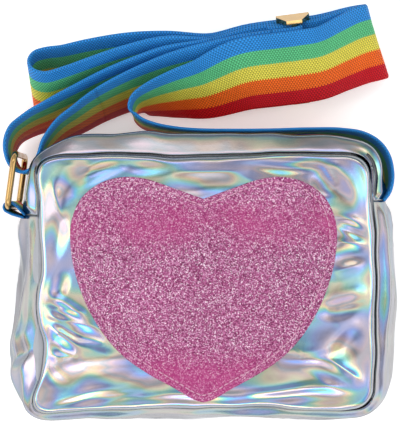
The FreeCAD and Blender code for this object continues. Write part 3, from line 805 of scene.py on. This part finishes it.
def gusset_sheet(name, low, high, rows, columns, lower, node):
    """Strip between two heights; an edge that meets a seam is rolled down into its groove."""
    levels = [low + (high - low) * r / (rows - 1) for r in range(rows)]
    rings = [(z, cut_outline(z, 0.5, lower, columns), 0.0) for z in levels]
    meets_front = high > FRONT_SEAM_Z - 1
    if meets_front:
        for z, level, inset, groove_shade in SEAM_ROLL:
            rings.append((z, cut_outline(level, inset, lower, columns), groove_shade))
    points, painted_shade = [], []
    for z, ring, groove_shade in rings:
        t = (z - low) / (high - low)
        along = 0.0
        for c, (x, y) in enumerate(ring):
            x1, y1 = ring[max(c - 1, 0)]
            x2, y2 = ring[min(c + 1, columns - 1)]
            along += math.dist((x, y), (x1, y1))
            size = math.hypot(x2 - x1, y2 - y1)
            out = Vector((y2 - y1, x1 - x2)) / size
            end = min(c, columns - 1 - c) / (columns - 1)
            free = smoothstep(0.0, 0.02, end) * smoothstep(0.0, 0.2, t) * smoothstep(0.0, 0.1, 1 - t)
            fold = gusset_fold(x, y, along, z) * free
            shift = 0.0
            if meets_front and z > FRONT_SEAM_Z - STRAY_DEPTH:
                near_seam = smoothstep(FRONT_SEAM_Z - STRAY_DEPTH, FRONT_SEAM_Z, z)
                shift = seam_stray(x, y) / SEAM_RADIUS * near_seam
            points.append((x + out.x * fold + x * shift, y + out.y * fold + y * shift, z))
            # Painted shade for the film: dark in the seam's groove, in the fold valleys and at the strip's
            # two ends.
            valley_shade = 0.45 * smoothstep(0.3, -1.6, fold)
            painted_shade.append(max(groove_shade, valley_shade, 0.7 * (1 - smoothstep(0.0, 0.004, end))))
    piece = make_mesh(name, points, sheet_faces(len(rings), columns), FILM)
    mark(piece, "painted_seam_fold_shade", painted_shade)
    mark(piece, "hue_zone", [0.0 if lower else -0.1] * len(points))
    thicken(piece, FILM_THICKNESS)
    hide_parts(node)
    return piece


def back_panel():
    rim = outline(*SEAM_FORM)
    points = []
    for inset in BACK_INSETS:
        for x, y in rim:
            k = 1 - (inset + 0.5) / min(math.hypot(x, y), SEAM_RADIUS)
            round_edge = 1 - min(inset / BACK_EDGE_WIDTH, 1.0)
            points.append((x * k, y * k, BACK_EDGE_RISE * (1 - math.sqrt(1 - round_edge**2))))
    points.append((0.0, 0.0, 0.0))
    piece = make_mesh("back_film", points, ringed_faces(len(BACK_INSETS), len(rim), flip=True), FILM)
    thicken(piece, FILM_THICKNESS)
    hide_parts("back_panel")
    return piece


def film_shell():
    over_zip, under_zip = ZIP_Z + ZIP_SLOT / 2, ZIP_Z - ZIP_SLOT / 2
    at_front, at_back = FRONT_SEAM_Z - 0.8, BACK_SEAM_Z - 0.4
    shell = [
        front_panel(),
        gusset_sheet("base_film", at_back, at_front, 44, 420, True, "base_gusset"),
        gusset_sheet("front_strip_film", over_zip, at_front, 24, 260, False, "front_zip_strip"),
        gusset_sheet("rear_strip_film", at_back, under_zip, 22, 260, False, "rear_zip_strip"),
        back_panel(),
    ]
    for piece in shell:
        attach(piece, "bag")


# Heart sewn on the front.
HEART_CENTRE = (-0.7, 8.0)
# Right half of the heart's outline, from the notch to the point.
HEART_HALF = [
    (0.0, 40.2), (14.0, 45.2), (27.0, 49.6), (38.0, 50.9), (50.0, 48.0), (59.5, 40.6), (64.4, 29.5),
    (65.0, 18.5), (62.8, 4.5), (57.6, -10.5), (49.4, -25.0), (39.5, -36.3), (28.0, -44.6), (14.0, -52.4),
    (4.6, -57.8), (0.0, -59.2),
]
HEART_TOP = FRONT_FACE_Z + 1.0
# Section of the heart from its edge inward, with the groove that the stitches draw: inset and height.
HEART_SECTION = [
    (0.0, -1.4), (0.0, -0.5), (0.3, -0.1), (0.9, 0.0), (2.2, 0.05),
    (3.0, -0.12), (3.6, -0.38), (4.2, -0.12), (5.2, 0.05), (7.0, 0.1),
    (10.0, 0.12), (16.0, 0.12), (24.0, 0.12), (34.0, 0.12), (44.0, 0.12),
]
STITCH_INSET = 3.6
STITCH_LENGTH = 2.2
STITCH_STEP = 3.0
STITCH_RADIUS = 0.32
# One stitch from end to end: place in its length, share of the thread's radius and lift.
STITCH_SECTION = [(-0.5, 0.35, -0.2), (-0.32, 0.9, 0.1), (0.0, 1.0, 0.2), (0.32, 0.9, 0.1), (0.5, 0.35, -0.2)]
STITCH_SIDES = 6


def smooth_line(points, steps):
    """A smooth line through given points, any number of coordinates each."""
    last = len(points) - 1
    out = []
    for i in range(last):
        p0, p1, p2, p3 = (points[k] for k in (max(i - 1, 0), i, i + 1, min(i + 2, last)))
        spans = [math.sqrt(math.dist(a[:3], b[:3])) or 1.0 for a, b in ((p0, p1), (p1, p2), (p2, p3))]
        for j in range(steps):
            s = j / steps
            h = ease_weights(s)
            row = []
            for a, b, c, d in zip(p0, p1, p2, p3):
                straight = (c - b) / spans[1]
                leave = arrive = straight
                if i > 0:
                    leave = (b - a) / spans[0] - (c - a) / (spans[0] + spans[1]) + straight
                if i < last - 1:
                    arrive = straight - (d - b) / (spans[1] + spans[2]) + (d - c) / spans[2]
                row.append(h[0] * b + h[1] * leave * spans[1] + h[2] * c + h[3] * arrive * spans[1])
            out.append(tuple(row))
    out.append(tuple(points[-1]))
    return out


def heart_outline():
    half = smooth_line(HEART_HALF, 10)
    whole = half + [(-x, y) for x, y in half[-2:0:-1]]
    return [(x + HEART_CENTRE[0], y) for x, y in whole]


def heart_height(x, y):
    return HEART_TOP + 0.7 * waver(x, y, 4.4, 48.0) + 0.25 * waver(x, y, 8.4, 20.0)


def heart():
    rim = heart_outline()
    cx, cy = HEART_CENTRE
    points = []
    for inset, rise in HEART_SECTION:
        for x, y in rim:
            k = 1 - inset / max(math.hypot(x - cx, y - cy), inset + 4)
            px, py = cx + (x - cx) * k, cy + (y - cy) * k
            points.append((px, py, heart_height(px, py) + rise))
    points.append((cx, cy, heart_height(cx, cy) + HEART_SECTION[-1][1]))
    piece = make_mesh("glitter_heart", points, ringed_faces(len(HEART_SECTION), len(rim), flip=True), GLITTER)
    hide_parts("heart_applique")
    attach(piece, "bag")


def thread_run(name, line, step, length, radius, material):
    """A row of short sewn stitches along a line of points with their outward directions."""
    sides = range(STITCH_SIDES)
    far_end = (len(STITCH_SECTION) - 1) * STITCH_SIDES
    one_stitch = sheet_faces(len(STITCH_SECTION), STITCH_SIDES, close_columns=True)
    one_stitch += [tuple(sides), tuple(far_end + k for k in reversed(sides))]
    points, faces = [], []
    travelled = 0.0
    goal = step / 2
    for (p, up), (q, _) in zip(line, line[1:]):
        span = math.dist(p, q)
        while travelled + span >= goal:
            t = (goal - travelled) / span
            middle = Vector(p).lerp(Vector(q), t)
            along = (Vector(q) - Vector(p)).normalized()
            lift = Vector(up)
            side = along.cross(lift).normalized()
            base = len(points)
            for place, girth, rise in STITCH_SECTION:
                for k in sides:
                    turn = math.tau * k / STITCH_SIDES
                    ring = side * math.cos(turn) + lift * math.sin(turn)
                    points.append(middle + along * place * length + lift * rise + ring * radius * girth)
            faces += [tuple(base + i for i in face) for face in one_stitch]
            goal += step
        travelled += span
    piece = make_mesh(name, points, faces, material)
    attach(piece, "bag")
    return piece


def heart_stitching():
    cx, cy = HEART_CENTRE
    line = []
    for x, y in heart_outline() + heart_outline()[:1]:
        k = 1 - STITCH_INSET / math.hypot(x - cx, y - cy)
        px, py = cx + (x - cx) * k, cy + (y - cy) * k
        line.append(((px, py, heart_height(px, py) - 0.05), (0, 0, 1)))
    stitches = thread_run("heart_stitches", line, STITCH_STEP, STITCH_LENGTH, STITCH_RADIUS, PINK_THREAD)


def heart_reach_by_angle():
    """How far the heart reaches from its middle, by whole degrees."""
    cx, cy = HEART_CENTRE
    reach = {}
    for x, y in heart_outline():
        degree = round(math.degrees(math.atan2(y - cy, x - cx))) % 360
        reach[degree] = math.hypot(x - cx, y - cy)
    for degree in range(360):
        if degree not in reach:
            near = min(reach, key=lambda d: min((d - degree) % 360, (degree - d) % 360))
            reach[degree] = reach[near]
    return reach


HEART_REACH = heart_reach_by_angle()


def under_heart(x, y):
    """1 well inside the heart, 0 outside it."""
    dx, dy = x - HEART_CENTRE[0], y - HEART_CENTRE[1]
    reach = HEART_REACH[round(math.degrees(math.atan2(dy, dx))) % 360]
    return smoothstep(1.0, 9.0, reach - math.hypot(dx, dy))


heart()
heart_stitching()
film_shell()


# Strap.
def lean_direction(lean, azimuth):
    """Direction that leans from upright by one angle, toward the other."""
    tilt, turn = math.radians(lean), math.radians(azimuth)
    return Vector((math.sin(tilt) * math.cos(turn), math.sin(tilt) * math.sin(turn), math.cos(tilt)))


PILE_ALONG = Vector((math.cos(math.radians(PILE_HEADING)), math.sin(math.radians(PILE_HEADING)), 0))


def pile_lean(along):
    to_adjuster = (ADJUSTER_LEAN - PILE_LEAN) * smoothstep(*TO_ADJUSTER, along)
    to_fold = (FOLD_LEAN - ADJUSTER_LEAN) * smoothstep(*TO_FOLD, along)
    return PILE_LEAN + to_adjuster + to_fold


def pile(along, up, across=0.0, turn=0.0):
    """A station of the strap in its pile: place along it, height over its lowest run, shift and turn."""
    width = lean_direction(pile_lean(along), PILE_HEADING + 90)
    rise = PILE_ALONG.cross(width)
    point = PILE_EDGE + PILE_ALONG * along + rise * up + width * (WEB_WIDTH / 2 + across)
    return (*point, pile_lean(along), PILE_HEADING + 90 + turn)


# Stations of the strap's midline: x, y, z, lean of its width from upright, direction of the lean.
STRAP_RUN = [
    (88.5, 39.0, 29.0, 0, 90), (91.2, 43.5, 28.8, 2, 0), (92.0, 50.0, 27.5, 5, 5),
    (90.3, 58.5, 25.5, 8, 25), (86.0, 65.5, 23.5, 9, 50), (79.0, 70.3, 22.0, 9, 70),
    (68.0, 73.0, 21.2, 7, 82), (52.5, 74.2, 21.0, 4, 88), (32.5, 74.6, 21.0, 1, 90),
    (13.5, 74.8, 21.0, 0, 90), (-2.5, 75.0, 21.0, 0, 92), (-14.0, 75.6, 21.0, 1, 94),
    (-25.5, 77.2, 21.0, 3, 98), (-33.0, 80.0, 21.0, 5, 100), (-36.4, 84.4, 21.0, 8, 100),
    (-34.2, 88.6, 21.2, 13, 100), (-26.5, 91.6, 21.4, 22, 100), (-13.0, 94.4, 21.8, 35, 99),
    (0.5, 96.8, 23.0, 46, 98), pile(18, 17.2), pile(34, 18.9), pile(46, 19.0), pile(58, 17.4),
    pile(70, 14.0), pile(81, 10.8, 0, 3), pile(86.8, 8.6, 0, 8), pile(89.0, 5.0, 0, 12),
    pile(86.8, 1.4, 0, 8), pile(81, 0, 0, 3), pile(74, 0, 0, 1), pile(66, 0), pile(58, 0), pile(46, 0),
    pile(24, 0), pile(2, 0), (-19.0, 110.9, 14.6, 50, 97), (-37.5, 111.2, 16.4, 44, 96),
    (-57.0, 109.4, 17.0, 38, 94), (-72.0, 106.8, 17.4, 35, 91), (-81.0, 105.8, 18.2, 34, 90),
    (-86.4, 103.7, 19.7, 34, 90), (-88.6, 99.2, 22.8, 34, 90), (-86.4, 94.7, 25.8, 34, 90),
    (-80.5, 93.0, 26.8, 33, 90), (-70.0, 96.0, 25.4, 32, 93), (-57.0, 100.6, 22.8, 33, 96),
    (-41.5, 105.5, 20.0, 36, 97), (-20.0, 108.7, 17.6, 46, 98), pile(2, 3.4), pile(24, 2.5), pile(46, 2.4),
    pile(58, 2.6), pile(66, 2.8), pile(74, 2.9, 0, 1), pile(79, 3.1, 0, 3), pile(81.4, 5.1, 0.1, 4),
    pile(79, 7.1, 0.3, 3), pile(72, 7.7, 0.4), pile(60, 7.7, 0.5), pile(46, 7.7, 0.5), pile(24, 7.4, 0.5),
    pile(4, 6.4, 0.5),
]
STRAP_LOOP = [
    pile(4, 6.4, 0.5), (-19.0, 104.3, 18.6, 43, 99), (-34.5, 101.4, 19.4, 32, 102),
    (-49.5, 96.6, 19.8, 26, 105), (-64.0, 90.2, 21.0, 22, 108), (-78.5, 83.8, 22.8, 17, 112),
    (-89.0, 79.0, 24.8, 12, 118), (-96.2, 73.6, 26.8, 7, 125), (-99.0, 67.5, 28.5, 3, 130),
    (-98.6, 61.0, 29.0, 0, 130), (-95.5, 55.6, 29.0, 0, 130), (-90.5, 53.6, 29.0, 0, 130),
    (-85.8, 55.8, 29.0, 0, 130), (-83.2, 61.0, 28.6, 1, 126), (-80.2, 67.8, 27.4, 5, 120),
    (-73.5, 75.5, 25.4, 11, 116), (-64.0, 81.9, 23.4, 16, 112), (-53.5, 88.6, 21.6, 20, 108),
    (-36.5, 96.4, 20.2, 26, 103), (-17.5, 100.8, 19.8, 40, 99), pile(2, 10.1, 0.5), pile(18, 13.4, 0.5),
    pile(28, 15.0, 0.5), pile(33.6, 15.2, 0.5),
]
STRAP_END = [
    pile(34, 15.2, 0.5), pile(39, 15.3, 0.5), pile(44.5, 15.3, 0.5), pile(48.4, 14.3, 0.5),
    pile(49.3, 12.7, 0.5), pile(48.4, 11.1, 0.5), pile(44.5, 10.2, 0.5), pile(32, 10.2, 0.5),
]

# Section of the webbing, in shares of its width and thickness.
WEB_SECTION = [
    (-0.5, -0.15), (-0.485, -0.42), (-0.46, -0.5), (-0.25, -0.5), (0.0, -0.5),
    (0.25, -0.5), (0.46, -0.5), (0.485, -0.42), (0.5, -0.15), (0.5, 0.15),
    (0.485, 0.42), (0.46, 0.5), (0.25, 0.5), (0.0, 0.5), (-0.25, 0.5),
    (-0.46, 0.5), (-0.485, 0.42), (-0.5, 0.15),
]


def sections(rows, steps):
    """Middle, width direction and face direction of the webbing at each step along its stations."""
    stations = smooth_line([(*row[:3], *lean_direction(*row[3:])) for row in rows], steps)
    chain = []
    for i, row in enumerate(stations):
        before, after = stations[max(i - 1, 0)], stations[min(i + 1, len(stations) - 1)]
        ahead = (Vector(after[:3]) - Vector(before[:3])).normalized()
        through = ahead.cross(Vector(row[3:])).normalized()
        across = through.cross(ahead).normalized()
        if across.dot(Vector(row[3:])) < 0:
            across.negate()
        chain.append((Vector(row[:3]), across, through))
    return chain


def web_mesh(name, chain, width, thickness):
    """Webbing with rounded edges and lay coordinates for the weave, and its length."""
    points, uvs = [], []
    travelled = 0.0
    for i, (middle, across, through) in enumerate(chain):
        if i:
            travelled += (middle - chain[i - 1][0]).length
        for w, t in WEB_SECTION:
            points.append(middle + across * w * width + through * t * thickness)
            uvs.append((w + 0.5, travelled))
    columns = len(WEB_SECTION)
    faces = sheet_faces(len(chain), columns, close_columns=True)
    faces += [tuple(range(columns))[::-1], tuple(len(points) - columns + k for k in range(columns))]
    return make_mesh(name, points, faces, WEBBING, uvs), travelled


def webbing(name, chain, node):
    piece, length = web_mesh(name, chain, WEB_WIDTH, WEB_THICKNESS)
    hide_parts(node)
    return piece


STEPS = 6
# Station of the loop, on its way back from the ring, where its second piece starts.
LOOP_SPLIT = 17

strap = sections(STRAP_RUN + STRAP_LOOP[1:], STEPS)
run_end = (len(STRAP_RUN) - 1) * STEPS
return_at = run_end + LOOP_SPLIT * STEPS
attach(webbing("strap_main", strap[: run_end + 1], "strap_run"), "bag")
loop = webbing("strap_through_ring", strap[run_end : return_at + 1], "strap_ring_loop")
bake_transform(loop)
back = webbing("strap_to_adjuster", strap[return_at:], "strap_ring_loop")
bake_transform(back)
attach(webbing("strap_end", sections(STRAP_END, STEPS), "strap_sewn_end"), "adjuster")


# Ring of gold wire and its webbing tab.
RING_BAR = Vector((-97.6, 36.2, ZIP_Z))
RING_FAR_BAR = Vector((-94.0, 62.6, ZIP_Z))
RING_HALF_SPAN = 22.1
RING_CORNER = 5.0
RING_WIRE = 3.2
RING_CORNER_STEPS = 8
RING_SIDES = 20


def side_ring():
    up = (RING_FAR_BAR - RING_BAR).normalized()
    span = Vector((0, 0, 1))
    corners = [
        RING_BAR - span * RING_HALF_SPAN,
        RING_BAR + span * RING_HALF_SPAN,
        RING_FAR_BAR + span * RING_HALF_SPAN,
        RING_FAR_BAR - span * RING_HALF_SPAN,
    ]
    path = []
    for i, corner in enumerate(corners):
        before = (corners[i - 1] - corner).normalized()
        after = (corners[(i + 1) % 4] - corner).normalized()
        centre = corner + (before + after) * RING_CORNER
        for k in range(RING_CORNER_STEPS + 1):
            turn = math.pi / 2 * k / RING_CORNER_STEPS
            path.append(centre - after * RING_CORNER * math.cos(turn) - before * RING_CORNER * math.sin(turn))
    face_normal = up.cross(span).normalized()
    points = []
    count = len(path)
    for i, place in enumerate(path):
        ahead = (path[(i + 1) % count] - path[i - 1]).normalized()
        side = ahead.cross(face_normal)
        for k in range(RING_SIDES):
            turn = math.tau * k / RING_SIDES
            points.append(place + (side * math.cos(turn) + face_normal * math.sin(turn)) * RING_WIRE / 2)
    piece = make_mesh("gold_ring", points, sheet_faces(count, RING_SIDES, True, True), GOLD)
    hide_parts("side_ring")
    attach(piece, "side_ring")


# Tab: width and thickness of its webbing, its root in the side seam, half the gap there, its clearance
# round the ring's bar, and the neck where its layers close in.
TAB_WIDTH = 36.0
TAB_WEB = 1.2
TAB_ROOT = Vector((-90.0, 31.6, 0))
TAB_HALF_GAP = 0.75
TAB_CLEARANCE = 0.35
TAB_NECK = 3.2
TAB_NECK_SHARE = 0.9
TAB_TURN_STEPS = 12


def ring_tab():
    """Webbing folded round the ring's bar, both ends at the side seam."""
    hold = Vector((RING_BAR.x, RING_BAR.y, 0))
    along = (TAB_ROOT - hold).normalized()
    side = Vector((-along.y, along.x, 0))
    radius = RING_WIRE / 2 + TAB_CLEARANCE + TAB_WEB / 2
    neck = side * radius * TAB_NECK_SHARE
    path = [TAB_ROOT + side * TAB_HALF_GAP, hold + along * TAB_NECK + neck]
    for k in range(TAB_TURN_STEPS + 1):
        turn = math.pi * k / TAB_TURN_STEPS
        path.append(hold + (side * math.cos(turn) - along * math.sin(turn)) * radius)
    path += [hold + along * TAB_NECK - neck, TAB_ROOT - side * TAB_HALF_GAP]
    across = Vector((0, 0, 1))
    chain = []
    for i, place in enumerate(path):
        ahead = (path[min(i + 1, len(path) - 1)] - path[max(i - 1, 0)]).normalized()
        chain.append((place + across * ZIP_Z, across, Vector((-ahead.y, ahead.x, 0))))
    piece, length = web_mesh("webbing_tab", chain, TAB_WIDTH, TAB_WEB)
    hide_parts("ring_tab")
    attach(piece, "bag")


side_ring()
ring_tab()


# Zip.
# Tapes: points across and along, thickness, inset under the film, reach past the side seams, and the
# distances of their two edges from the zip's middle.
TAPE_GRID = (7, 160)
TAPE_THICKNESS = 0.6
TAPE_INSET = 1.8
TAPE_PAST_SEAMS = 4.0
TAPE_NEAR = 0.5
TAPE_FAR = 12.0


def zip_tape(name, low, high, node):
    rows, columns = TAPE_GRID
    points, uvs = [], []
    for r in range(rows):
        z = low + (high - low) * r / (rows - 1)
        ring = cut_outline(z, TAPE_INSET, False, columns, past=TAPE_PAST_SEAMS)
        travelled = 0.0
        for c, p in enumerate(ring):
            if c:
                travelled += math.dist(p, ring[c - 1])
            points.append((*p, z))
            uvs.append((r / (rows - 1), travelled))
    piece = make_mesh(name, points, sheet_faces(rows, columns), ZIP_TAPE, uvs)
    thicken(piece, TAPE_THICKNESS, 0.0)
    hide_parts(node)
    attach(piece, "bag")


zip_tape("front_tape_weave", ZIP_Z + TAPE_NEAR, ZIP_Z + TAPE_FAR, "front_zip_tape")
zip_tape("rear_tape_weave", ZIP_Z - TAPE_FAR, ZIP_Z - TAPE_NEAR, "rear_zip_tape")

# Finishes of the pieces that keep their solid.
SOLID_FINISHES = {
    "front_zip_teeth": ZIP_TEETH,
    "rear_zip_teeth": ZIP_TEETH,
    "zip_stops": GOLD,
    "zip_slider": GOLD,
    "zip_pull": GOLD,
    "strap_adjuster": GOLD,
    "lining_gusset": LINING,
    "lining_front": LINING,
    "lining_back": LINING,
}
for node, material in SOLID_FINISHES.items():
    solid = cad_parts[node]
    solid.data.materials.clear()
    solid.data.materials.append(material)


# Studio.
FLOOR_HALF = 3000.0
FLOOR_Z = -0.2
FLOOR_GLOW = 0.36
# Tones of the studio's walls, by how far up they are, and of the screens that break them up.
WALL_TONES = [
    (0.0, (0.5, 0.5, 0.52)),
    (0.35, (0.8, 0.81, 0.83)),
    (0.7, (1.15, 1.15, 1.15)),
    (0.96, (0.78, 0.78, 0.8)),
]
SCREEN_TONES = [(0.38, (0.45, 0.45, 0.46)), (0.62, (1.4, 1.4, 1.4))]


def floor():
    material = make_plain("pale_floor", (0.93, 0.93, 0.93, 1), 0.75, 3.0, 0.01)
    shader = material.node_tree.nodes["Principled BSDF"]
    shader.inputs["Emission Color"].default_value = (1, 1, 1, 1)
    shader.inputs["Emission Strength"].default_value = FLOOR_GLOW
    points = [(x * FLOOR_HALF, y * FLOOR_HALF, FLOOR_Z) for x, y in ((-1, -1), (1, -1), (1, 1), (-1, 1))]
    make_mesh("studio_floor", points, [(0, 1, 2, 3)], material)


def softbox(name, place, aim, size, power):
    light = bpy.data.lights.new(name, "AREA")
    light.shape = "RECTANGLE"
    light.size, light.size_y = size
    light.energy = power
    lamp = bpy.data.objects.new(name, light)
    lamp.location = place
    lamp.rotation_euler = (Vector(aim) - Vector(place)).to_track_quat("-Z", "Y").to_euler()
    bpy.context.collection.objects.link(lamp)


def studio_world():
    world = bpy.data.worlds.new("studio")
    world.use_nodes = True
    nodes = Nodes(world.node_tree)
    background = world.node_tree.nodes["Background"]
    toward = nodes.add("ShaderNodeTexCoord").outputs["Generated"]
    up = nodes.add("ShaderNodeSeparateXYZ")
    nodes.join(toward, up.inputs[0])
    walls = nodes.ramp(up.outputs["Z"], WALL_TONES)
    screens = nodes.ramp(nodes.noise(toward, 2.4, detail=1.0).outputs["Fac"], SCREEN_TONES)
    glow = nodes.mix(1.0, walls, screens, "MULTIPLY")
    glow = nodes.mix(nodes.range(up.outputs["Y"], 0.45, 0.8, 0.0, 0.5), glow, (0.35, 0.36, 0.38))
    nodes.join(glow, background.inputs["Color"])
    background.inputs["Strength"].default_value = 1.0
    bpy.context.scene.world = world


def camera():
    lens = bpy.data.cameras.new("photo_camera")
    lens.sensor_fit = "HORIZONTAL"
    lens.sensor_width = 36.0
    seen = PHOTO_WIDTH_PX / PX_PER_MM
    lens.lens = lens.sensor_width * (CAMERA_HEIGHT - FRONT_FACE_Z) / seen
    eye = bpy.data.objects.new("photo_camera", lens)
    eye.location = Vector((*CAMERA_OVER, CAMERA_HEIGHT)) * MM
    bpy.context.collection.objects.link(eye)
    bpy.context.scene.camera = eye


floor()
softbox("top_softbox", (0.0, 0.7, 1.05), (0, 0, 0), (1.4, 0.3), 1.5)
softbox("left_softbox", (-0.8, 0.0, 0.95), (0, 0, 0), (0.45, 1.0), 1.8)
softbox("right_softbox", (0.8, 0.1, 0.95), (0, 0, 0), (0.4, 0.9), 1.3)
softbox("lower_softbox", (-0.1, -0.85, 0.9), (0, 0, 0), (1.0, 0.3), 1.3)
studio_world()
camera()
bpy.context.scene.view_settings.view_transform = "Standard"
